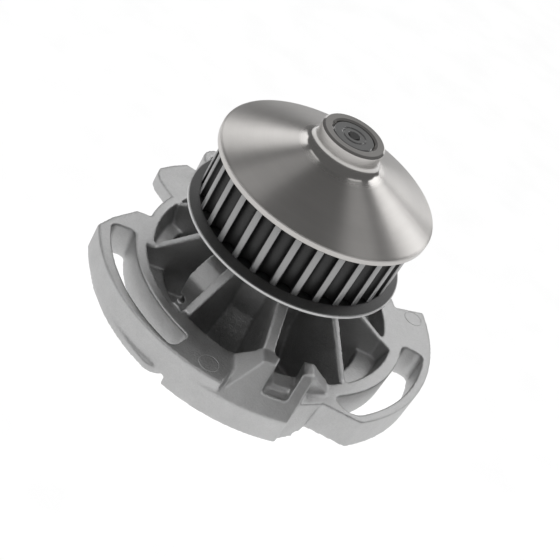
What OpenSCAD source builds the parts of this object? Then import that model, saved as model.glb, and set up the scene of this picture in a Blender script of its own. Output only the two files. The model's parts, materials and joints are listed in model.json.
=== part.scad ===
// Automotive water pump: cast body with slotted ears, toothed belt pulley on a sealed
// double row ball bearing, mechanical face seal and vaned impeller.
// Millimetres, +Z along the shaft towards the pulley.
// Origin: on the spigot's axis, in the plane of the mounting face.

/* [Body] */
// Thickness of the mounting ears and of the rim around the front recess
ear_t = 13.3; // [12.5:0.1:14]
// Radius of the spigot that plugs into the engine block
spigot_r = 44.5; // [44:0.1:45]
// How far the spigot reaches behind the mounting face
spigot_len = 9.5; // [9:0.1:10]
// Outer radius of the two wide ears
ear_r = 66.2; // [65:0.1:68]
// Radius of the front recess at its mouth
recess_r = 48.3; // [47:0.1:49]
// Height of the notched lip at the front of the body
lip_h = 21.3; // [20:0.1:22]

/* [Fastening slots] */
// Radius on which the two wide ears' slots run
slot_r = 58.5; // [58:0.1:59]
// Width of the slots, for M8 bolts
slot_w = 9; // [8.5:0.1:9.5]
// Radius on which the rear ear's slot runs
rear_slot_r = 64; // [63:0.1:65]

/* [Shaft and bearing] */
// Distance of the shaft from the spigot's axis, which sets the belt tension
shaft_offset = 4.4; // [3:0.1:5]
// Direction of that offset, in degrees from +X
shaft_offset_dir = 229; // [220:1:240]
// Radius of the shaft
shaft_r = 7.96; // [7.9:0.01:8]
// Outer radius of the bearing
bearing_r = 15; // [14.5:0.5:15.5]
// Length of the bearing's outer race
bearing_len = 38.9; // [38:0.1:40]
// Radius of the balls
ball_r = 3.175; // [3:0.005:3.2]
// Number of balls in each row
ball_count = 7; // [6:1:8]

/* [Pulley] */
// Number of teeth
tooth_count = 30; // [28:1:31]
// Radius over the teeth
tooth_tip_r = 37.7; // [37:0.1:38]
// Radius of the front disc
disc_r = 40.5; // [40:0.1:41]
// Height of the front disc's edge above the mounting face
disc_z = 65.1; // [64:0.1:66]
// Radius of the rear guide flange
flange_r = 41; // [40:0.1:42]

/* [Impeller] */
// Radius of the impeller
impeller_r = 28; // [26:0.5:30]
// Number of vanes
vane_count = 7; // [5:1:8]

/* [Hidden] */
$fn = 96;

// Colours
aluminium = [0.70, 0.70, 0.69];
turned_steel = [0.62, 0.61, 0.58];
sintered_steel = [0.45, 0.45, 0.43];
bright_steel = [0.75, 0.75, 0.76];
rubber = [0.10, 0.10, 0.10];
brass = [0.72, 0.58, 0.30];
graphite = [0.16, 0.16, 0.17];
ceramic = [0.86, 0.84, 0.78];
cage_polymer = [0.35, 0.22, 0.12];

// Body
shaft_x = shaft_offset * cos(shaft_offset_dir);
shaft_y = shaft_offset * sin(shaft_offset_dir);
recess_centre = [1.2, 0.6];
ledge_z = 4.5;            // ring-shaped ledge inside the recess
ledge_r = 40;             // inner radius of that ledge
web_z = -5;               // floor of the recess
recess_draft = 1.7;       // the recess is this much narrower at the ledge
rim_t = 3.7;              // thickness of the rim between the ears
collar_r = 53.4;          // outer radius of the notched collar
notch_x = [15.7, 24.6];
left_slot = [199.7, 254.8];
right_slot = [-44.6, 9.8];
rear_slot = [87.4, 135.2];
slot_corner = 2.4;        // corner radius at the slots' ends
right_slot_bend = 7;      // radius of the right slot's front outer corner
rear_ear_margin = 4;
tab_t = 6;                // thickness of the pointed tab

// O-ring groove in the spigot
o_ring_z = -5.2;
groove_w = 4;
groove_depth = 2.7;
o_ring_proud = 0.2;       // how far the squeezed ring stands out of its groove

// Bearing boss
boss_r = 19.5;
boss_top = 45.3;
foot_r = 23;
foot_top = 13;
bearing_z = 11.3;         // rear end of the outer race
bearing_top = bearing_z + bearing_len;

// Ribs from the boss to the rim: angle about the shaft, thickness, height at the rim,
// height at the boss, radius of the recess wall that the rib runs into
pad_r = 44.6;
rib_drop = 0.25;          // the ribs meet the rim this far below its top
RIBS = [[201.5, 2.8, ear_t, 33, recess_r], [247, 3.4, ear_t, 39, recess_r],
    [288, 4.2, lip_h, 40.8, recess_r], [329, 2.8, ear_t, 40.8, recess_r],
    [11.2, 2.8, ear_t, 28.3, pad_r], [49, 3, ear_t, 38, recess_r],
    [87, 3, ear_t, 38, recess_r], [124, 3, ear_t, 38, recess_r],
    [161, 3, ear_t, 38, recess_r]];

// Bearing details
race_bore_r = 12.3;
ball_pitch_r = 10.25;
groove_r = 3.3;
groove_gap = 0.05;        // running gap between a ball and the bottom of its groove
row_inset = 10.2;         // from the race's end to the centre of the ball row
rear_row_z = bearing_z + row_inset;
front_row_z = bearing_top - row_inset;
seal_pocket_r = 13;
seal_pocket_d = 2.6;

// Mechanical seal and impeller, along the shaft
seal_bore_r = 18;
seal_shoulder_z = 4;
chamber_r = 14.5;
weep_z = 8;
weep_r = 1.75;
seal_face_z = -10.6;      // where the carbon ring meets the ceramic seat
face_gap = 0.02;
hub_face_z = -13.2;       // front face of the impeller's centre
vane_end_z = -21;
shaft_rear_z = -20;
insert_r = 10.5;
sleeve_r = 8.6;

// Pulley
rim_band = 2.4;
cone_hub_r = 11.64;
cone_hub_top = disc_z + 18.6;
cone_rise = 11.3;
hub_fillet = 4;
cone_wall = 3.4;
skirt_r = 31;             // the toothed ring is pressed onto this skirt
tooth_gap_r = 2.65;
teeth_top = disc_z - rim_band;
teeth_bottom = disc_z - 24.3;
flange_drop = 1.6;
flange_t = 1.1;

cut = 1;                  // how far cutting shapes run past a surface
above = 60;               // taller than anything in the body

function polar(r, a) = [r * cos(a), r * sin(a)];

// Distance from the shaft, in direction a, to a circle of radius r round the point c
function reach_to(a, c, r) =
    let (d = [shaft_x, shaft_y] - c, along = d * polar(1, a))
    -along + sqrt(along * along - d * d + r * r);

module at_shaft() {
    translate([shaft_x, shaft_y, 0]) children();
}

// Flat wedge from angle a0 to a1 about the origin, for spans under 150 degrees
module wedge(r, a0, a1) {
    polygon([[0, 0], polar(2 * r, a0), polar(2.6 * r, (a0 + a1) / 2), polar(2 * r, a1)]);
}

module annulus_sector(r_in, r_out, a0, a1) {
    intersection() {
        difference() {
            circle(r_out);
            circle(r_in);
        }
        wedge(r_out, a0, a1);
    }
}

// Curved slot that ends at the angles in ends, with rounded corners. The corners are a
// hair smaller than they should be, so that they cross the slot's sides cleanly.
module arc_slot(r, w, ends, corner) {
    turn = corner / r * 180 / PI;
    full = [ends[0] + turn, ends[1] - turn];
    inset = w / 2 - corner;
    annulus_sector(r - w / 2, r + w / 2, full[0], full[1]);
    annulus_sector(r - inset, r + inset, ends[0], ends[1]);
    for (a = full, side = [-1, 1])
        translate(polar(r + side * inset, a)) circle(corner - 0.01);
}

// The right slot's front end bends well away from the ear's edge, which keeps the metal
// there thick
module right_slot_outline() {
    corner_r = slot_r + slot_w / 2 - right_slot_bend;
    a = right_slot[0] + asin(right_slot_bend / corner_r);
    difference() {
        arc_slot(slot_r, slot_w, right_slot, slot_corner);
        translate(polar(corner_r, a)) rotate(a) difference() {
            translate([0, -2 * right_slot_bend]) square(2 * right_slot_bend);
            circle(right_slot_bend + 0.01);
        }
    }
}

// Ring of rectangular section about the shaft
module ring(r_in, r_out, z0, z1) {
    rotate_extrude() translate([r_in, z0]) square([r_out - r_in, z1 - z0]);
}

// The left ear's underside is relieved, apart from a machined pad round the slot
module left_ear() {
    relief = 2;
    translate([0, 0, relief]) linear_extrude(ear_t - relief) {
        intersection() {
            translate([-3.5, 1]) circle(65.1);
            polygon([[-30, -24], [-66, -27], [-90, -60], [-30, -100], [2.4, -80],
                [4.7, -40]]);
        }
        polygon([[-40, -3], [-51.3, -6], [-55.6, -7.6], [-60.6, -18.6], [-62.6, -27],
            [-40, -30]]);
    }
    linear_extrude(relief + cut)
        arc_slot(slot_r, slot_w + 7, [left_slot[0] - 2.4, left_slot[1] + 1.6], 6);
}

module right_ear() {
    linear_extrude(ear_t) {
        annulus_sector(recess_r - 6, ear_r, -40, 32.5);
        polygon([[42, -28], [52.4, -40.4], [49.7, -42.8], [35.5, -44.8], [28, -46.2],
            [28, -30]]);
    }
}

module rear_ear() {
    ear_w = slot_w + 2 * rear_ear_margin;
    linear_extrude(ear_t + 1) {
        arc_slot(rear_slot_r, ear_w, [rear_slot[0] - 3, rear_slot[1] + 3], 7);
        annulus_sector(recess_r - 6, rear_slot_r, rear_slot[0] + 0.6, rear_slot[1] - 2);
    }
}

module pointed_tab() {
    translate([0, 0, ear_t - tab_t]) linear_extrude(tab_t)
        polygon([[-44, 10], [-51.3, 12.9], [-57.3, 17], [-59.6, 20], [-60.2, 24],
            [-57.3, 30], [-53.3, 36], [-44, 36]]);
}

// Wall in front of the collar, between the ears. It slopes above slope_z, its foot reaches
// below the mounting face, and the notch runs out through it.
module front_wall() {
    foot_z = -2;
    foot_inner_y = -50;
    wall_r = 64.4;
    slope_z = 8.5;
    difference() {
        union() {
            intersection() {
                union() {
                    translate([0, 0, foot_z]) cylinder(r = wall_r, h = slope_z - foot_z);
                    translate([0, 0, slope_z])
                        cylinder(r1 = wall_r, r2 = collar_r, h = lip_h - slope_z);
                }
                translate([-14, -80, foot_z]) cube([42.8, 34, 40]);
            }
            wall_corner(foot_z);
        }
        translate([-20, -80, slope_z]) cube([23, 60, 20]);
        translate([notch_x[0], -80, ear_t]) cube([notch_x[1] - notch_x[0], 60, 20]);
        translate([0, 0, ear_t - 1]) linear_extrude(20) intersection() {
            annulus_sector(53.6, 58.6, -80, -58);
            translate([notch_x[0], -80]) square([notch_x[1] - notch_x[0], 60]);
        }
        // The slope runs out to the left towards the ear
        intersection() {
            translate([4.1, -53.7, ear_t]) rotate([0, 47.4, 199.4])
                translate([-40, -40, 0]) cube([80, 80, 40]);
            translate([2, -80, slope_z]) cube([12, 60, 20]);
        }
        translate([-20, foot_inner_y, foot_z - cut]) cube([80, 20, cut - foot_z]);
    }
}

// Drafted corner between the front wall and the right ear
module wall_corner(foot_z) {
    slab = 0.1;
    hull() {
        translate([0, 0, foot_z]) linear_extrude(slab)
            polygon([[18, -44.6], [18, -61.8], [22, -60.4], [29, -55.4], [34, -49], [35, -44.6]]);
        translate([0, 0, ear_t - slab]) linear_extrude(slab)
            polygon([[18, -44.6], [18, -57], [27, -54], [28.7, -47.4], [35.5, -45.4],
                [35.5, -44.6]]);
    }
}

// Raised collar round the front of the recess: a ramp up to the third rib, the notch, then
// a pointed tab with a sloping flank
module collar() {
    intersection() {
        difference() {
            translate([0, 0, ledge_z - 1]) cylinder(r = collar_r, h = lip_h - ledge_z + 1);
            cylinder(r = 46.8, h = lip_h + cut);
        }
        rotate([0, 0, 20]) rotate([90, 0, 0]) linear_extrude(collar_r + cut)
            polygon([[-16, ledge_z - 1], [-16, ear_t], [-14.6, ear_t], [-7.2, lip_h],
                [-3, lip_h], [-1, ear_t], [8.2, ear_t], [7.6, lip_h + cut], [11.2, lip_h],
                [20.2, ear_t], [20.2, ledge_z - 1]]);
    }
}

module spigot() {
    difference() {
        translate([0, 0, -spigot_len]) cylinder(r = spigot_r, h = spigot_len + cut);
        translate([0, 0, -spigot_len]) difference() {
            translate([0, 0, -cut]) cylinder(r = spigot_r + 2, h = cut + 0.8);
            translate([0, 0, -cut])
                cylinder(r1 = spigot_r - 1.8, r2 = spigot_r, h = cut + 0.8);
        }
    }
}

// Where the rim beside the right ear is thicker, between the fifth and the sixth rib
module recess_pad() {
    linear_extrude(above + cut) {
        translate(recess_centre) annulus_sector(pad_r, recess_r + 2, 5.5, 49.6);
        polygon([[45, 4.6], [50.3, 1.9], [53, 8], [45.4, 10]]);
    }
}

module rib(a, t, rim_h, boss_h, wall_r) {
    reach = reach_to(a, recess_centre, wall_r) + 2.6;
    low_reach = reach_to(a, [0, 0], ledge_r) + 1.6;
    rotate([0, 0, a]) translate([0, t / 2, 0]) rotate([90, 0, 0]) linear_extrude(t)
        polygon([[boss_r - 2, web_z - 1], [low_reach, web_z - 1], [low_reach, ledge_z - 1],
            [reach, ledge_z - 1], [reach, rim_h], [reach - 3.4, rim_h],
            [boss_r + 0.6, boss_h], [boss_r - 2, boss_h]]);
}

// Drain pad beside the second rib
module drain_pad() {
    rotate([0, 0, 247]) translate([0, -1, 0]) rotate([90, 0, 0]) linear_extrude(9.5)
        polygon([[boss_r - 3, web_z - 1], [34, web_z - 1], [34, ear_t + 5],
            [29, ear_t + 11], [boss_r - 3, ear_t + 18.5]]);
}

module housing() {
    color(aluminium) difference() {
        union() {
            difference() {
                union() {
                    translate(recess_centre) cylinder(r = recess_r + rim_t, h = ear_t);
                    left_ear();
                    right_ear();
                    rear_ear();
                    pointed_tab();
                    front_wall();
                    spigot();
                }
                difference() {
                    translate(recess_centre) rotate_extrude()
                        polygon([[0, ledge_z], [recess_r - recess_draft, ledge_z],
                            [recess_r, ear_t], [recess_r, above], [0, above]]);
                    recess_pad();
                }
                translate([0, 0, web_z]) cylinder(r = ledge_r, h = above);
                translate([0, 0, ledge_z]) linear_extrude(above)
                    annulus_sector(ledge_r, recess_r + 1.4, 204, 245.5);
            }
            collar();
            at_shaft() {
                cylinder(r = boss_r, h = boss_top);
                translate([0, 0, web_z - 1])
                    cylinder(r1 = foot_r + 1, r2 = boss_r - 0.5, h = foot_top - web_z + 1);
                for (r = RIBS) rib(r[0], r[1], r[2] - rib_drop, r[3], r[4]);
                drain_pad();
            }
        }
        translate([0, 0, -cut]) linear_extrude(above) {
            arc_slot(slot_r, slot_w, left_slot, slot_corner);
            right_slot_outline();
            arc_slot(rear_slot_r, slot_w, rear_slot, slot_corner);
        }
        o_ring_groove();
        at_shaft() {
            translate([0, 0, bearing_z]) cylinder(r = bearing_r, h = above);
            translate([0, 0, seal_shoulder_z - cut])
                cylinder(r = chamber_r, h = bearing_z - seal_shoulder_z + 2 * cut);
            translate([0, 0, -spigot_len - cut])
                cylinder(r = seal_bore_r, h = spigot_len + cut + seal_shoulder_z);
            translate([0, 0, weep_z]) rotate([0, 90, 232]) cylinder(r = weep_r, h = 40);
        }
    }
}

module o_ring_groove() {
    rotate_extrude() translate([spigot_r - groove_depth, o_ring_z - groove_w / 2])
        square([groove_depth + cut, groove_w]);
}

// The ring at its working height, as the engine's bore squeezes it
module spigot_o_ring() {
    section_r = (groove_depth + o_ring_proud) / 2;
    color(rubber) rotate_extrude() translate([spigot_r + o_ring_proud - section_r, o_ring_z])
        circle(section_r - 0.01);
}

// Ball groove in a race: toroidal cut about the shaft
module groove(centre_r, z) {
    translate([0, 0, z]) rotate_extrude() translate([centre_r, 0]) circle(groove_r);
}

module bearing_outer_race() {
    outer_groove_r = ball_pitch_r + ball_r + groove_gap - groove_r;
    color(bright_steel) at_shaft() difference() {
        rotate_extrude() polygon([[race_bore_r, bearing_z], [bearing_r - 0.6, bearing_z],
            [bearing_r, bearing_z + 0.6], [bearing_r, bearing_top - 0.6],
            [bearing_r - 0.6, bearing_top], [race_bore_r, bearing_top]]);
        for (z = [rear_row_z, front_row_z]) groove(outer_groove_r, z);
        translate([0, 0, bearing_z - cut]) cylinder(r = seal_pocket_r, h = seal_pocket_d + cut);
        translate([0, 0, bearing_top - seal_pocket_d])
            cylinder(r = seal_pocket_r, h = seal_pocket_d + cut);
    }
}

// Lip seal: the side at z = 0 faces out of the bearing
module bearing_seal() {
    lip_r = shaft_r + 0.08;
    rotate_extrude() polygon([[lip_r, 0.5], [lip_r + 0.9, 0], [11.4, 0], [11.8, 0.35],
        [12.6, 0.35], [seal_pocket_r, 0.7], [seal_pocket_r, 2.2], [11.6, 2.2], [11.2, 1.5],
        [9.4, 1.5], [8.8, 2.3], [lip_r, 2.0], [lip_r + 0.5, 1.25]]);
}

module front_bearing_seal() {
    color(rubber) at_shaft() translate([0, 0, bearing_top]) mirror([0, 0, 1]) bearing_seal();
}

module rear_bearing_seal() {
    color(rubber) at_shaft() translate([0, 0, bearing_z]) bearing_seal();
}

// Stationary half of the mechanical seal
module seal_case() {
    z0 = -spigot_len;
    color(brass) at_shaft() rotate_extrude() polygon([[12, seal_shoulder_z - 0.6],
        [12, seal_shoulder_z], [seal_bore_r, seal_shoulder_z], [seal_bore_r, z0],
        [20, z0], [20, z0 - 0.6], [seal_bore_r - 0.6, z0 - 0.6],
        [seal_bore_r - 0.6, seal_shoulder_z - 0.6]]);
}

module seal_bellows() {
    color(rubber) at_shaft() rotate_extrude() polygon([[10.2, -6], [13.5, -6],
        [13.5, -4.7], [11.5, -4.3], [12.1, -2.6], [11.4, -0.4], [12.2, 0.9], [16.4, 0.9],
        [16.4, -1.6], [17.35, -1.6], [17.35, 3.35], [11.2, 3.35], [10.1, -0.4],
        [10.8, -2.6], [10.1, -4.3]]);
}

module seal_ring_carrier() {
    color(bright_steel) at_shaft() rotate_extrude() polygon([[13.55, -3.9], [13.55, -8.6],
        [14.15, -8.6], [14.15, -4.5], [16.7, -4.5], [16.7, -3.9]]);
}

module carbon_seal_ring() {
    color(graphite) at_shaft() rotate_extrude() polygon([[10.4, -6.05], [10.4, -9.6],
        [11.1, seal_face_z], [12.9, seal_face_z], [13.5, -9.4], [13.5, -6.05]]);
}

// Helical compression spring as a swept octagon
module seal_spring() {
    turns = 3;
    steps = 26;
    sides = 8;
    wire_r = 0.45;
    coil_r = 14.9;
    z0 = -3.3;
    rise = 3.3;
    count = turns * steps;
    points = [for (i = [0:count]) let (a = 360 * i / steps, z = z0 + rise * i / count)
        for (j = [0:sides - 1]) let (b = 360 * j / sides, r = coil_r + wire_r * cos(b))
            [r * cos(a), r * sin(a), z + wire_r * sin(b)]];
    walls = [for (i = [0:count - 1]) for (j = [0:sides - 1])
        let (k = (j + 1) % sides)
        [i * sides + j, i * sides + k, (i + 1) * sides + k, (i + 1) * sides + j]];
    caps = [[for (j = [sides - 1:-1:0]) j], [for (j = [0:sides - 1]) count * sides + j]];
    color(bright_steel) at_shaft() polyhedron(points, concat(walls, caps));
}

// Shaft with its two ground ball grooves and centre drilling
module shaft() {
    inner_groove_r = ball_pitch_r - ball_r - groove_gap + groove_r;
    color(bright_steel) at_shaft() difference() {
        rotate_extrude() polygon([[0, shaft_rear_z], [shaft_r - 0.8, shaft_rear_z],
            [shaft_r, shaft_rear_z + 0.8], [shaft_r, cone_hub_top - 1.2],
            [shaft_r - 0.7, cone_hub_top - 0.5], [0, cone_hub_top - 0.5]]);
        for (z = [rear_row_z, front_row_z]) groove(inner_groove_r, z);
        translate([0, 0, cone_hub_top - 0.5]) rotate_extrude()
            polygon([[0, 0.5], [2.6, 0.5], [2.2, 0], [0.8, -2.4], [0.8, -4.5], [0, -5]]);
    }
}

// Turned front disc: cone, hub pressed on the shaft, and skirt that carries the teeth
module pulley_cone() {
    base = disc_z;
    skirt_t = 2.6;
    skirt_end_z = teeth_bottom + 4;
    hub_inner_z = base + 3.4;
    slope = atan2(cone_rise, disc_r - cone_hub_r);
    fillet_z = base + (disc_r - cone_hub_r - hub_fillet) * tan(slope) + hub_fillet / cos(slope);
    color(turned_steel) at_shaft() rotate_extrude() difference() {
        polygon([[shaft_r, hub_inner_z], [shaft_r, cone_hub_top - 0.6],
            [shaft_r + 0.6, cone_hub_top], [cone_hub_r - 0.7, cone_hub_top],
            [cone_hub_r, cone_hub_top - 0.7], [cone_hub_r, fillet_z],
            [cone_hub_r + hub_fillet * (1 - sin(slope)), fillet_z - hub_fillet * cos(slope)],
            [disc_r - 0.8, base + 0.8 * tan(slope)], [disc_r - 0.15, base],
            [disc_r, base - 0.4], [disc_r, base - rim_band + 0.3],
            [disc_r - 0.3, base - rim_band], [skirt_r, base - rim_band],
            [skirt_r, skirt_end_z], [skirt_r - skirt_t, skirt_end_z],
            [skirt_r - skirt_t, base - cone_wall + 0.6], [cone_hub_r + 0.6, base + 6.6],
            [cone_hub_r + 0.6, hub_inner_z]]);
        translate([cone_hub_r + hub_fillet, fillet_z]) circle(hub_fillet + 0.01);
    }
}

module toothed_ring() {
    color(sintered_steel) at_shaft() difference() {
        ring(skirt_r, tooth_tip_r, teeth_bottom, teeth_top);
        for (i = [0:tooth_count - 1])
            rotate([0, 0, 4.7 + 360 * i / tooth_count])
                translate([tooth_tip_r - 0.6, 0, teeth_bottom - cut])
                    cylinder(r = tooth_gap_r, h = teeth_top - teeth_bottom + 2 * cut, $fn = 48);
    }
}

// Thin sheet ring whose edge flares away from the belt
module rear_guide_flange() {
    flat_r = tooth_tip_r - 0.3;
    color(sintered_steel) at_shaft() rotate_extrude() polygon([[skirt_r, teeth_bottom],
        [flat_r, teeth_bottom], [flange_r, teeth_bottom - flange_drop],
        [flange_r, teeth_bottom - flange_drop - flange_t + 0.2],
        [flange_r - 0.3, teeth_bottom - flange_drop - flange_t],
        [flat_r - 0.2, teeth_bottom - flange_t], [skirt_r, teeth_bottom - flange_t]]);
}

module water_slinger() {
    color(cage_polymer) at_shaft() rotate_extrude() polygon([[shaft_r, 6],
        [shaft_r + 1.6, 6], [shaft_r + 1.9, 7], [12.6, 7.2], [12.6, 8],
        [shaft_r + 1.9, 8.4], [shaft_r + 1.6, 9.4], [shaft_r, 9.4]]);
}

// Rotating half of the mechanical seal
module seal_sleeve() {
    color(bright_steel) at_shaft() ring(shaft_r, sleeve_r, hub_face_z, 1);
}

module seat_rubber_boot() {
    color(rubber) at_shaft() rotate_extrude() polygon([[sleeve_r, seal_face_z - 0.3],
        [10, seal_face_z - 0.3], [10, -12.6], [14.2, -12.6], [14.2, hub_face_z],
        [sleeve_r, hub_face_z]]);
}

module ceramic_seat() {
    face = seal_face_z - face_gap;
    color(ceramic) at_shaft() rotate_extrude() polygon([[10, -12.6], [10, face - 0.3],
        [10.3, face], [13.9, face], [14.2, face - 0.3], [14.2, -12.6]]);
}

module impeller_insert() {
    color(bright_steel) at_shaft()
        ring(shaft_r, insert_r, hub_face_z - 7.2, hub_face_z);
}

// One backward curved vane, seen along the shaft
module vane() {
    bend_r = 24;
    vane_t = 2;
    intersection() {
        translate([4, -22]) difference() {
            circle(bend_r + vane_t / 2);
            circle(bend_r - vane_t / 2);
        }
        difference() {
            circle(impeller_r - 0.2);
            circle(insert_r + 2);
        }
        translate([0, -8]) square([40, 40]);
    }
}

module impeller() {
    rim_z = -11;
    disc_t = 1.8;
    color(cage_polymer) at_shaft() {
        rotate_extrude() polygon([[insert_r, hub_face_z], [15, hub_face_z], [19, rim_z],
            [impeller_r, rim_z], [impeller_r, rim_z - disc_t], [19.6, rim_z - disc_t],
            [15.6, hub_face_z - disc_t], [insert_r, hub_face_z - disc_t]]);
        intersection() {
            translate([0, 0, vane_end_z]) linear_extrude(12)
                for (i = [0:vane_count - 1]) rotate(360 * i / vane_count) vane();
            rotate_extrude() polygon([[insert_r + 1, vane_end_z], [impeller_r, vane_end_z],
                [impeller_r, rim_z - 0.8], [19.3, rim_z - 0.8], [15.3, hub_face_z - 0.9],
                [insert_r + 1, hub_face_z - 0.9]]);
        }
    }
}

module ball_places() {
    for (i = [0:ball_count - 1])
        rotate([0, 0, 360 * i / ball_count]) translate([ball_pitch_r, 0, 0]) children();
}

module balls(z) {
    color(bright_steel) at_shaft() translate([0, 0, z]) ball_places() sphere(ball_r, $fn = 48);
}

// Crown cage: a ring on one side of the balls with fingers between them
module cage(z) {
    pocket_r = ball_r + 0.12;
    color(cage_polymer) at_shaft() translate([0, 0, z]) difference() {
        ring(9.2, 11.3, -4.4, 1.2);
        ball_places() sphere(pocket_r, $fn = 48);
    }
}

module front_balls() {
    balls(front_row_z);
}

module front_ball_cage() {
    cage(front_row_z);
}

module rear_balls() {
    balls(rear_row_z);
}

module rear_ball_cage() {
    cage(rear_row_z);
}

housing();
spigot_o_ring();
bearing_outer_race();
front_bearing_seal();
rear_bearing_seal();
seal_case();
seal_bellows();
seal_spring();
seal_ring_carrier();
carbon_seal_ring();
shaft();
pulley_cone();
toothed_ring();
rear_guide_flange();
water_slinger();
seal_sleeve();
seat_rubber_boot();
ceramic_seat();
impeller_insert();
impeller();
front_ball_cage();
front_balls();
rear_ball_cage();
rear_balls();
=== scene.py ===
import json
import math

import bmesh
import bpy
import numpy as np
from mathutils import Matrix, Vector
from mathutils.bvhtree import BVHTree

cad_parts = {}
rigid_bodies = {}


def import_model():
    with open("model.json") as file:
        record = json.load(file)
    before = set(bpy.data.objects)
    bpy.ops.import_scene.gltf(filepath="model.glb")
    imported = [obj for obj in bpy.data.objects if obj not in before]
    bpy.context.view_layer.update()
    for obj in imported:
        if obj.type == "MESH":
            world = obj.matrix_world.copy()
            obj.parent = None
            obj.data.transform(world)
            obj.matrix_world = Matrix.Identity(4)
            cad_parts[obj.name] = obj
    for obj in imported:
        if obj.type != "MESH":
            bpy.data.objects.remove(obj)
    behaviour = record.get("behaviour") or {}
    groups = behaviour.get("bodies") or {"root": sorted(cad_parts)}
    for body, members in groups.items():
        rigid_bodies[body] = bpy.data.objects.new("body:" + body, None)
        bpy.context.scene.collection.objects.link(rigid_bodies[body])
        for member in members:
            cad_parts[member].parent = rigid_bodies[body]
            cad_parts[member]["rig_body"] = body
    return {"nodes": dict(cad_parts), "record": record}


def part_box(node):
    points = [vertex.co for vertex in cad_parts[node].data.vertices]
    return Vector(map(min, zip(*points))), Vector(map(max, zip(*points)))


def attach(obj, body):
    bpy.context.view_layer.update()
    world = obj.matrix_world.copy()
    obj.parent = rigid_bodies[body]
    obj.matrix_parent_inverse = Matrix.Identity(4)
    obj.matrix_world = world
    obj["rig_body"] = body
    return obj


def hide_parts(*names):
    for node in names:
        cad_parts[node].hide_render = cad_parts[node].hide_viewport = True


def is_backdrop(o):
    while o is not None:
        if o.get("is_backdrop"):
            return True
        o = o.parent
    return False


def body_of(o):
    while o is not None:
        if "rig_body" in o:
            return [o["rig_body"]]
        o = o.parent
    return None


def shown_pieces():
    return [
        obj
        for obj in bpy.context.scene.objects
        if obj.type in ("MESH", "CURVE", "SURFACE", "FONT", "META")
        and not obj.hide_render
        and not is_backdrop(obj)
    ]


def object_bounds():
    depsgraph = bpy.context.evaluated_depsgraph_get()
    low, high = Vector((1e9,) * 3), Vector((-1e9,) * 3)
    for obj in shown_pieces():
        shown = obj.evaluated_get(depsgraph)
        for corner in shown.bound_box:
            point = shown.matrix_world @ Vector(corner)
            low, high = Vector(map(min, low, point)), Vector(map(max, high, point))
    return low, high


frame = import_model()
CAD_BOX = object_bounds()

MM = 0.001
JOINT = next(j for j in frame["record"]["behaviour"]["joints"] if j["name"] == "shaft_spin")
AXIS_X, AXIS_Y = JOINT["pos_m"][0], JOINT["pos_m"][1]

LOW = {name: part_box(name)[0] for name in frame["nodes"]}
HIGH = {name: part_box(name)[1] for name in frame["nodes"]}
FLOOR_Z = CAD_BOX[0].z
MOUNTS = {mount["name"]: mount["pos_m"] for mount in frame["record"]["mounts"]}


# ---------------------------------------------------------------- materials

class Nodes:
    """Short helpers to build a node material on a Principled shader."""

    def __init__(self, name):
        self.mat = bpy.data.materials.new(name)
        self.mat.use_nodes = True
        self.tree = self.mat.node_tree
        self.shader = self.tree.nodes["Principled BSDF"]

    def node(self, kind, **inputs):
        n = self.tree.nodes.new(kind)
        for key, value in inputs.items():
            self.put(n.inputs[key], value)
        return n

    def put(self, socket, value):
        if isinstance(value, bpy.types.NodeSocket):
            self.tree.links.new(value, socket)
        else:
            socket.default_value = value

    def math(self, op, a, b=0.0, c=0.0):
        n = self.tree.nodes.new("ShaderNodeMath")
        n.operation = op
        for socket, value in zip(n.inputs, (a, b, c)):
            self.put(socket, value)
        return n.outputs[0]

    def where(self):
        n = self.tree.nodes.new("ShaderNodeTexCoord")
        return n.outputs["Object"]

    def split(self, vector):
        n = self.node("ShaderNodeSeparateXYZ")
        self.put(n.inputs[0], vector)
        return n.outputs

    def join(self, x, y, z):
        n = self.node("ShaderNodeCombineXYZ")
        for socket, value in zip(n.inputs, (x, y, z)):
            self.put(socket, value)
        return n.outputs[0]

    def noise(self, vector, scale, detail=3.0, rough=0.5):
        n = self.node("ShaderNodeTexNoise")
        self.put(n.inputs["Vector"], vector)
        n.inputs["Scale"].default_value = scale
        n.inputs["Detail"].default_value = detail
        n.inputs["Roughness"].default_value = rough
        return n.outputs["Fac"]

    def voronoi(self, vector, scale):
        n = self.node("ShaderNodeTexVoronoi")
        self.put(n.inputs["Vector"], vector)
        n.inputs["Scale"].default_value = scale
        return n.outputs["Distance"]

    def span(self, value, low, high, to_low=0.0, to_high=1.0):
        n = self.node("ShaderNodeMapRange")
        for socket, v in zip(n.inputs, (value, low, high, to_low, to_high)):
            self.put(socket, v)
        return n.outputs[0]

    def colours(self, value, stops):
        n = self.node("ShaderNodeValToRGB")
        ramp = n.color_ramp
        while len(ramp.elements) < len(stops):
            ramp.elements.new(0.5)
        for element, (place, colour) in zip(ramp.elements, stops):
            element.position = place
            element.color = (*colour, 1.0)
        self.put(n.inputs[0], value)
        return n.outputs[0]

    def bump(self, height, distance, strength=1.0, normal=None):
        n = self.node("ShaderNodeBump")
        n.inputs["Strength"].default_value = strength
        n.inputs["Distance"].default_value = distance
        self.put(n.inputs["Height"], height)
        if normal is not None:
            self.put(n.inputs["Normal"], normal)
        return n.outputs[0]

    def surface(self, colour, rough, metal, normal=None, **sockets):
        self.put(self.shader.inputs["Base Color"], colour)
        self.put(self.shader.inputs["Roughness"], rough)
        self.put(self.shader.inputs["Metallic"], metal)
        if normal is not None:
            self.put(self.shader.inputs["Normal"], normal)
        for key, value in sockets.items():
            self.put(self.shader.inputs[key.replace("_", " ")], value)
        return self.mat


def grey(v, warm=0.0):
    """A grey of value v, shifted towards yellow by warm."""
    return (v * (1 + warm), v, v * (1 - warm))


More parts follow.
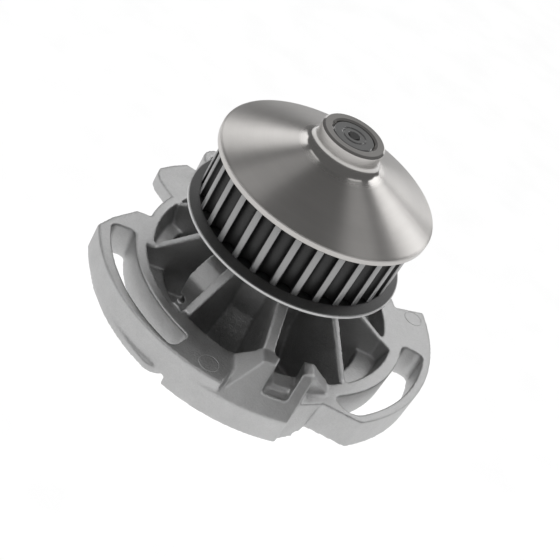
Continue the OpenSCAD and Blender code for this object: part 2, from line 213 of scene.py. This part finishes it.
def cast_aluminium():
    """Die-cast skin: fine grain, cloudy tone, a few dark pits."""
    m = Nodes("cast_aluminium")
    p = m.where()
    cloud = m.noise(p, 45, 4, 0.6)
    grain = m.noise(p, 1700, 3, 0.6)
    pits = m.voronoi(p, 260)
    tone = m.math("ADD", m.math("MULTIPLY", cloud, 0.75), m.math("MULTIPLY", grain, 0.25))
    colour = m.colours(tone, [(0.30, grey(0.42)), (0.50, grey(0.52)), (0.72, grey(0.62))])
    rough = m.span(cloud, 0.3, 0.7, 0.44, 0.58)
    relief = m.math("ADD", grain, m.math("MULTIPLY", m.span(pits, 0.0, 0.16), 0.6))
    normal = m.bump(relief, 0.00013, 0.8)
    normal = m.bump(m.noise(p, 240, 3, 0.6), 0.00040, 0.45, normal)
    return m.surface(colour, rough, 1.0, normal)


def from_axis(m):
    """Distance of a point from the shaft's axis, and its height."""
    x, y, z = m.split(m.where())
    dx = m.math("SUBTRACT", x, AXIS_X)
    dy = m.math("SUBTRACT", y, AXIS_Y)
    squares = m.math("ADD", m.math("MULTIPLY", dx, dx), m.math("MULTIPLY", dy, dy))
    return m.math("SQRT", squares), z


def turned_steel(name, tone, rough, fine=5200.0, warm=0.03):
    """Lathe finish: rings round the axis, on flat, conical and cylindrical faces alike."""
    m = Nodes(name)
    radius, z = from_axis(m)
    rings = m.join(radius, 0.0, z)
    cut = m.noise(rings, fine, 4, 0.7)
    wide = m.noise(rings, fine / 12, 3, 0.6)
    cloud = m.noise(m.where(), 60, 3, 0.5)
    mix = m.math("ADD", m.math("MULTIPLY", cut, 0.25),
                 m.math("ADD", m.math("MULTIPLY", wide, 0.22), m.math("MULTIPLY", cloud, 0.53)))
    low, high = grey(tone * 0.90, warm), grey(tone * 1.08, warm)
    colour = m.colours(mix, [(0.30, low), (0.65, high)])
    hub = m.span(radius, 0.0135, 0.0165, -0.16, 0.0)
    roughness = m.math("ADD", m.span(cut, 0.3, 0.7, rough - 0.03, rough + 0.04), hub)
    normal = m.bump(cut, 0.00001, 0.4)
    around = m.node("ShaderNodeTangent")
    around.direction_type = "RADIAL"
    around.axis = "Z"
    return m.surface(colour, roughness, 1.0, normal, Anisotropic=0.75,
                     Anisotropic_Rotation=0.25, Tangent=around.outputs[0])


def sintered_steel(name, shade_limit_radius, dark, bright):
    """Steam-treated sintered steel, dark; lighter and smoother outside the given radius: painted
    highlight on the lands and rim, painted shade in the gaps.
    """
    m = Nodes(name)
    p = m.where()
    grain = m.voronoi(p, 2100)
    cloud = m.noise(p, 80, 3, 0.6)
    fine = m.noise(p, 3200, 2, 0.6)
    radius = from_axis(m)[0]
    # Painted shade and highlight: a ragged step in tone at the radius, dark in the tooth gaps, light
    # on the tooth lands and the flange's rim.
    edge = m.math("ADD", radius, m.math("MULTIPLY", m.math("SUBTRACT", fine, 0.5), 0.0003))
    painted_light_mask = m.span(edge, shade_limit_radius - 0.0002, shade_limit_radius + 0.0001)
    tone = m.math("ADD", m.math("MULTIPLY", cloud, 0.6), m.math("MULTIPLY", fine, 0.4))
    shade = m.math("ADD", m.span(tone, 0.30, 0.70, 0.0, 0.4), m.math("MULTIPLY", painted_light_mask, 0.6))
    colour = m.colours(shade, [(0.0, grey(dark * 0.8)), (0.38, grey(dark * 1.25)),
                               (0.62, grey(bright * 0.85)), (1.0, grey(bright))])
    rough = m.math("SUBTRACT", m.span(cloud, 0.3, 0.7, 0.42, 0.54), m.math("MULTIPLY", painted_light_mask, 0.10))
    return m.surface(colour, rough, 1.0, m.bump(grain, 0.00005, 0.35))


def stretched(m, p, scale):
    """Coordinates scaled by axis, which draws the grain out along the small ones."""
    return m.join(*[m.math("MULTIPLY", a, b) for a, b in zip(m.split(p), scale)])


def ground_steel():
    """Ground steel: fine scratches round the piece."""
    m = Nodes("ground_steel")
    p = m.where()
    scratch = m.noise(stretched(m, p, (0.06, 0.06, 1.0)), 2400, 3, 0.7)
    cloud = m.noise(p, 120, 3, 0.5)
    colour = m.colours(cloud, [(0.3, grey(0.52)), (0.7, grey(0.66))])
    rough = m.span(scratch, 0.3, 0.7, 0.20, 0.34)
    return m.surface(colour, rough, 1.0, m.bump(scratch, 0.00002, 0.3))


def rubber():
    """Black moulded rubber."""
    m = Nodes("rubber")
    p = m.where()
    grain = m.noise(p, 2600, 3, 0.6)
    cloud = m.noise(p, 150, 2, 0.5)
    colour = m.colours(cloud, [(0.3, grey(0.012)), (0.7, grey(0.028))])
    return m.surface(colour, m.span(grain, 0.3, 0.7, 0.50, 0.68), 0.0, m.bump(grain, 0.00004, 0.4))


def brass():
    """Deep-drawn brass sheet with streaks along the draw."""
    m = Nodes("brass")
    p = m.where()
    drawn = m.noise(stretched(m, p, (1.0, 1.0, 0.08)), 1500, 3, 0.6)
    colour = m.colours(m.noise(p, 130, 3, 0.6), [(0.3, (0.55, 0.38, 0.16)), (0.7, (0.72, 0.52, 0.24))])
    return m.surface(colour, m.span(drawn, 0.3, 0.7, 0.26, 0.42), 1.0, m.bump(drawn, 0.00003, 0.3))


def graphite():
    """Lapped carbon."""
    m = Nodes("graphite")
    p = m.where()
    grain = m.noise(p, 3000, 3, 0.6)
    colour = m.colours(grain, [(0.3, grey(0.022)), (0.7, grey(0.045))])
    return m.surface(colour, m.span(grain, 0.3, 0.7, 0.32, 0.44), 0.0, m.bump(grain, 0.00002, 0.3))


def ceramic():
    """Lapped alumina with fine specks."""
    m = Nodes("ceramic")
    p = m.where()
    speck = m.noise(p, 1800, 3, 0.6)
    colour = m.colours(speck, [(0.3, (0.70, 0.67, 0.58)), (0.7, (0.80, 0.78, 0.70))])
    return m.surface(colour, m.span(speck, 0.3, 0.7, 0.22, 0.32), 0.0, m.bump(speck, 0.00001, 0.3))


def phenolic():
    """Moulded phenolic resin with short glass fibres."""
    m = Nodes("phenolic")
    p = m.where()
    flow = m.noise(p, 300, 4, 0.65)
    fibre = m.noise(stretched(m, p, (1.0, 0.25, 1.0)), 2600, 2, 0.5)
    colour = m.colours(flow, [(0.30, (0.030, 0.017, 0.010)), (0.70, (0.075, 0.040, 0.022))])
    return m.surface(colour, m.span(fibre, 0.3, 0.7, 0.36, 0.52), 0.0, m.bump(fibre, 0.00003, 0.35))


ALUMINIUM = cast_aluminium()
TURNED = turned_steel("turned_steel", 0.54, 0.30)
SHAFT_STEEL = turned_steel("shaft_steel", 0.34, 0.28, warm=0.0)
# Painted highlight on the tooth lands and the flange's rim, outside the given radius; painted shade
# within it.
TEETH = sintered_steel("sintered_steel", 0.0374, 0.06, 0.36)
FLANGE = sintered_steel("flange_steel", 0.0407, 0.16, 0.60)
GROUND = ground_steel()
RUBBER = rubber()
BRASS = brass()
GRAPHITE = graphite()
CERAMIC = ceramic()
PHENOLIC = phenolic()

FINISH = {
    "housing": ALUMINIUM, "spigot_o_ring": RUBBER, "bearing_outer_race": GROUND,
    "front_bearing_seal": RUBBER, "rear_bearing_seal": RUBBER, "seal_case": BRASS,
    "seal_bellows": RUBBER, "seal_spring": GROUND, "seal_ring_carrier": GROUND,
    "carbon_seal_ring": GRAPHITE, "shaft": SHAFT_STEEL, "pulley_cone": TURNED,
    "toothed_ring": TEETH, "rear_guide_flange": FLANGE, "water_slinger": PHENOLIC,
    "seal_sleeve": GROUND, "seat_rubber_boot": RUBBER, "ceramic_seat": CERAMIC,
    "impeller_insert": GROUND, "impeller": PHENOLIC, "front_ball_cage": PHENOLIC,
    "front_balls": GROUND, "rear_ball_cage": PHENOLIC, "rear_balls": GROUND,
}
for name, node in frame["nodes"].items():
    node.data.materials.clear()
    node.data.materials.append(FINISH[name])


# ---------------------------------------------------------------- pieces

def new_piece(name, mesh, node, material, body, sharp=32):
    """A finished closed mesh that stands for a CAD node."""
    mesh.materials.clear()
    mesh.materials.append(material)
    mesh.shade_smooth()
    mesh.set_sharp_from_angle(angle=math.radians(sharp))
    ob = bpy.data.objects.new(name, mesh)
    bpy.context.scene.collection.objects.link(ob)
    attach(ob, body)
    if node:
        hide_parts(node)
    return ob


def solid_from(name, verts, faces):
    """Mesh with its normals facing out."""
    mesh = bpy.data.meshes.new(name)
    mesh.from_pydata(verts, [], faces)
    bm = bmesh.new()
    bm.from_mesh(mesh)
    bmesh.ops.recalc_face_normals(bm, faces=bm.faces)
    bm.to_mesh(mesh)
    bm.free()
    return mesh


def rounded(points, radius, steps=4):
    """A closed outline in mm with its corners rounded; a point may carry its own radius."""
    out = []
    count = len(points)
    for i, point in enumerate(points):
        here = Vector(point[:2])
        before = Vector(points[i - 1][:2]) - here
        after = Vector(points[(i + 1) % count][:2]) - here
        want = point[2] if len(point) > 2 else radius
        half = before.angle(after) / 2
        if want == 0 or half > math.radians(86):
            out.append(tuple(here))
            continue
        reach = min(want / math.tan(half), 0.45 * before.length, 0.45 * after.length)
        start, end = here + before.normalized() * reach, here + after.normalized() * reach
        for k in range(steps + 1):
            t = k / steps
            out.append(tuple(start * (1 - t) ** 2 + here * (2 * t * (1 - t)) + end * t ** 2))
    return out


def lathe(name, outline, segments=256):
    """Closed solid of revolution about the shaft from an outline of (radius, z) in mm."""
    verts, faces, rings = [], [], []
    for r, z in outline:
        if r < 1e-6:
            rings.append([len(verts)] * segments)
            verts.append((AXIS_X, AXIS_Y, z * MM))
            continue
        rings.append(list(range(len(verts), len(verts) + segments)))
        for k in range(segments):
            a = 2 * math.pi * k / segments
            verts.append((AXIS_X + r * MM * math.cos(a), AXIS_Y + r * MM * math.sin(a), z * MM))
    for lower, upper in zip(rings, rings[1:] + rings[:1]):
        for k in range(segments):
            n = (k + 1) % segments
            loop = []
            for v in (lower[k], lower[n], upper[n], upper[k]):
                if v not in loop:
                    loop.append(v)
            if len(loop) > 2:
                faces.append(loop)
    return solid_from(name, verts, faces)


def cast_body():
    """The housing with the soft edges of a die casting."""
    source = frame["nodes"]["housing"]
    mesh = source.data.copy()
    mesh.transform(source.matrix_world)
    ob = bpy.data.objects.new("cast_body_source", mesh)
    bpy.context.scene.collection.objects.link(ob)
    weld = ob.modifiers.new("weld", "WELD")
    weld.merge_threshold = 0.00001
    skin = ob.modifiers.new("skin", "REMESH")
    skin.mode = "VOXEL"
    skin.voxel_size = 0.00055
    soften = ob.modifiers.new("soften", "SMOOTH")
    soften.factor = 0.5
    soften.iterations = 5
    thin = ob.modifiers.new("thin", "DECIMATE")
    thin.ratio = 0.36
    graph = bpy.context.evaluated_depsgraph_get()
    result = bpy.data.meshes.new_from_object(ob.evaluated_get(graph))
    bpy.data.objects.remove(ob)
    return new_piece("cast_body", result, "housing", ALUMINIUM, "housing", 60)


def past_slot(mount, turn, outwards):
    """Point in mm on the housing's top face, turn degrees round the spigot past a slot's mount."""
    mesh = frame["nodes"]["housing"].data
    tree = BVHTree.FromPolygons([v.co for v in mesh.vertices], [p.vertices for p in mesh.polygons])
    x, y = MOUNTS[mount][:2]
    angle = math.atan2(y, x) + math.radians(turn)
    radius = math.hypot(x, y) + outwards * MM
    x, y = radius * math.cos(angle), radius * math.sin(angle)
    top = tree.ray_cast(Vector((x, y, HIGH["housing"].z)), Vector((0, 0, -1)))[0]
    return tuple(top / MM)


def ring_mark(name, place, sunk=0.03, major=3.6, minor=0.15):
    """Raised mark that an ejector pin left, half sunk in the casting."""
    x, y, z = place
    z -= sunk
    mesh = bpy.data.meshes.new(name)
    verts, faces = [], []
    around, across = 64, 10
    for i in range(around):
        a = 2 * math.pi * i / around
        for k in range(across):
            b = 2 * math.pi * k / across
            r = major + minor * math.cos(b)
            verts.append(((x + r * math.cos(a)) * MM, (y + r * math.sin(a)) * MM,
                          (z + minor * math.sin(b)) * MM))
            faces.append((i * across + k, (i + 1) % around * across + k,
                          (i + 1) % around * across + (k + 1) % across,
                          i * across + (k + 1) % across))
    return new_piece(name, solid_from(name, verts, faces), None, ALUMINIUM,
                     "housing")


TOOTH_TIP, GAP_CENTRE, GAP_R, RING_BORE = 37.7, 37.1, 2.65, 31.0
TEETH_COUNT, FIRST_GAP = 30, 4.7


def tooth_outline(shrink, corner=0.5):
    """Toothed outline about the origin in mm; shrink moves it inwards, into the metal."""
    tip, gap = TOOTH_TIP - shrink, GAP_R + shrink
    a, b, c = GAP_CENTRE, tip - corner, gap + corner
    swing = math.acos((a * a + b * b - c * c) / (2 * a * b))
    centre = Vector((b * math.cos(swing), b * math.sin(swing)))
    to_gap = Vector((GAP_CENTRE, 0)) - centre
    low, high = math.atan2(to_gap.y, to_gap.x), swing
    half = []                                   # from the middle of the gap to the land
    first = math.atan2(-to_gap.y, -to_gap.x)    # where the gap's arc ends, from its centre
    for k in range(10):
        g = math.pi + (first - math.pi) * k / 10
        half.append(Vector((GAP_CENTRE + gap * math.cos(g), gap * math.sin(g))))
    for k in range(5):
        g = low + (high - low) * k / 4
        half.append(centre + corner * Vector((math.cos(g), math.sin(g))))
    limit = math.pi / TEETH_COUNT
    for k in range(1, 3):
        g = swing + (limit - swing) * k / 3
        half.append(tip * Vector((math.cos(g), math.sin(g))))
    pitch = [Vector((v.x, -v.y)) for v in reversed(half[1:])] + half
    out = []
    for i in range(TEETH_COUNT):
        turn = math.radians(FIRST_GAP + 360 * i / TEETH_COUNT)
        for v in pitch:
            out.append((v.x * math.cos(turn) - v.y * math.sin(turn),
                        v.x * math.sin(turn) + v.y * math.cos(turn)))
    return out


def teeth():
    """Sintered ring: the toothed outline with broken edges, and a plain bore."""
    low, high = LOW["toothed_ring"].z / MM, HIGH["toothed_ring"].z / MM
    levels = [(low, 0.3), (low + 0.12, 0.09), (low + 0.3, 0.0),
              (high - 0.3, 0.0), (high - 0.12, 0.09), (high, 0.3)]
    verts, faces = [], []
    count = len(tooth_outline(0.0))

    def add_ring(points, z):
        start = len(verts)
        verts.extend((AXIS_X + x * MM, AXIS_Y + y * MM, z * MM) for x, y in points)
        return [start + k for k in range(count)]

    rings = [add_ring(tooth_outline(shrink), z) for z, shrink in levels]
    outline = tooth_outline(0.0)
    bore = []
    for x, y in outline:
        a = math.atan2(y, x)
        bore.append((RING_BORE * math.cos(a), RING_BORE * math.sin(a)))
    rings += [add_ring(bore, high), add_ring(bore, low)]
    for lower, upper in zip(rings, rings[1:] + rings[:1]):
        for k in range(count):
            n = (k + 1) % count
            faces.append((lower[k], lower[n], upper[n], upper[k]))
    return new_piece("teeth", solid_from("teeth", verts, faces), "toothed_ring", TEETH,
                     "rotor")


def shaft_end():
    """The shaft with its ball grooves, and a lathe ring round the centre drilling."""
    r = 7.96
    low, high = LOW["shaft"].z / MM, HIGH["shaft"].z / MM
    outline = [(0, low, 0), (r - 0.8, low), (r, low + 0.8)]
    for z in (21.5, 40.0):
        reach = math.sqrt(3.3 ** 2 - (10.325 - r) ** 2)
        swing = math.asin(reach / 3.3)
        for k in range(9):
            g = -swing + 2 * swing * k / 8
            outline.append((10.325 - 3.3 * math.cos(g), z + 3.3 * math.sin(g), 0))
    outline += [(r, high - 0.7), (r - 0.7, high), (4.6, high, 0.1), (4.35, high - 0.25),
                (4.0, high - 0.25), (3.75, high, 0.1), (2.3, high, 0.15), (0.8, high - 2.4),
                (0.8, high - 4.5), (0, high - 5.0, 0)]
    return new_piece("bearing_shaft", lathe("bearing_shaft", rounded(outline, 0.12), 192),
                     "shaft", SHAFT_STEEL, "rotor")


cast_body()
ring_mark("ejector_mark_left", past_slot("left_tension_slot", 39.42, 0.0))
ring_mark("ejector_mark_right", past_slot("right_tension_slot", 45.48, 1.63))
teeth()
shaft_end()


# ---------------------------------------------------------------- camera

camera = bpy.data.objects.new("camera", bpy.data.cameras.new("camera"))
bpy.context.scene.collection.objects.link(camera)
camera.data.sensor_width = 36.0
camera.data.lens = 77.14
camera.data.clip_start = 0.01
camera.data.clip_end = 20.0
right, up, back = (0.8474, 0.3063, 0.4337), (-0.5310, 0.4889, 0.6922), (0.0, -0.8168, 0.5769)
camera.matrix_world = Matrix((
    (right[0], up[0], back[0], 1.57 * MM),
    (right[1], up[1], back[1], -358.7 * MM),
    (right[2], up[2], back[2], 268.7 * MM),
    (0, 0, 0, 1)))
bpy.context.scene.camera = camera


# ---------------------------------------------------------------- floor and light

def floor():
    """Pale paper under the object."""
    mesh = bpy.data.meshes.new("floor")
    bm = bmesh.new()
    bmesh.ops.create_grid(bm, x_segments=2, y_segments=2, size=10.0)
    bmesh.ops.translate(bm, verts=bm.verts, vec=(0, 0, FLOOR_Z - 0.0003))
    bm.to_mesh(mesh)
    bm.free()
    ob = bpy.data.objects.new("floor", mesh)
    bpy.context.scene.collection.objects.link(ob)
    m = Nodes("floor_paper")
    speck = m.noise(m.where(), 40, 2, 0.5)
    m.surface(m.colours(speck, [(0.3, grey(0.90)), (0.7, grey(0.93))]), 0.85, 0.0)
    mesh.materials.append(m.mat)
    ob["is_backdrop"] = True
    return ob


FLOOR = floor()

TARGET = Vector((0.0, 0.0, 0.035))


def collection(name, objects):
    """A collection that light linking can use."""
    group = bpy.data.collections.new(name)
    for ob in objects:
        group.objects.link(ob)
    return group


# The rotor and the body have lights of their own: bands on the cone, even light on the casting
ROTOR = collection("rotor_only", [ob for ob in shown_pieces() if "rotor" in body_of(ob)])
BODY = collection("body_only", [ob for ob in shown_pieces() if "rotor" not in body_of(ob)])
FLOOR_ONLY = collection("floor_only", [FLOOR])


def softbox(name, azimuth, elevation, distance, width, height, power, lights):
    """A soft area light that shines only on the collection lights."""
    data = bpy.data.lights.new(name, "AREA")
    data.shape = "RECTANGLE"
    data.size = width
    data.size_y = height
    data.energy = power
    ob = bpy.data.objects.new(name, data)
    bpy.context.scene.collection.objects.link(ob)
    a, e = math.radians(azimuth), math.radians(elevation)
    towards = Vector((math.cos(a) * math.cos(e), math.sin(a) * math.cos(e), math.sin(e)))
    ob.location = TARGET + distance * towards
    ob.rotation_euler = (TARGET - ob.location).to_track_quat("-Z", "Y").to_euler()
    ob.light_linking.receiver_collection = lights


softbox("rotor_right", 59.5, 31, 1.2, 0.38, 0.46, 1.0, ROTOR)
softbox("rotor_left", 121.2, 32, 1.2, 0.42, 0.46, 0.80, ROTOR)
softbox("rotor_tail", 74, 12, 1.2, 0.30, 0.35, 0.40, ROTOR)
softbox("rotor_back", 90, 30, 1.6, 1.1, 0.5, 0.35, ROTOR)
softbox("rotor_high_right", 40, 60, 1.2, 0.24, 0.34, 0.19, ROTOR)
softbox("rotor_high_left", 140, 60, 1.2, 0.24, 0.34, 0.19, ROTOR)
softbox("body_back", 80, 38, 1.6, 1.6, 0.8, 6.2, BODY)
softbox("body_front", -98, 40, 1.4, 1.5, 0.8, 2.6, BODY)
softbox("body_top", 90, 75, 1.4, 0.9, 0.9, 3.2, BODY)
softbox("body_left", -165, 52, 1.4, 0.6, 0.6, 2.6, BODY)
softbox("body_low_left", 150, 16, 1.4, 0.5, 0.5, 1.3, BODY)
softbox("body_right", 30, 26, 1.4, 0.5, 0.5, 2.6, BODY)

# Light from straight above that only whitens the floor, without shadows
sun = bpy.data.objects.new("floor_sun", bpy.data.lights.new("floor_sun", "SUN"))
bpy.context.scene.collection.objects.link(sun)
sun.data.energy = 2.98
sun.light_linking.receiver_collection = FLOOR_ONLY
sun.light_linking.blocker_collection = FLOOR_ONLY

world = bpy.data.worlds.new("studio")
bpy.context.scene.world = world
world.use_nodes = True
world.node_tree.nodes["Background"].inputs["Color"].default_value = (1.0, 1.0, 1.0, 1.0)
world.node_tree.nodes["Background"].inputs["Strength"].default_value = 0.16
bpy.context.scene.view_settings.view_transform = "Standard"
bpy.context.scene.view_settings.look = "None"
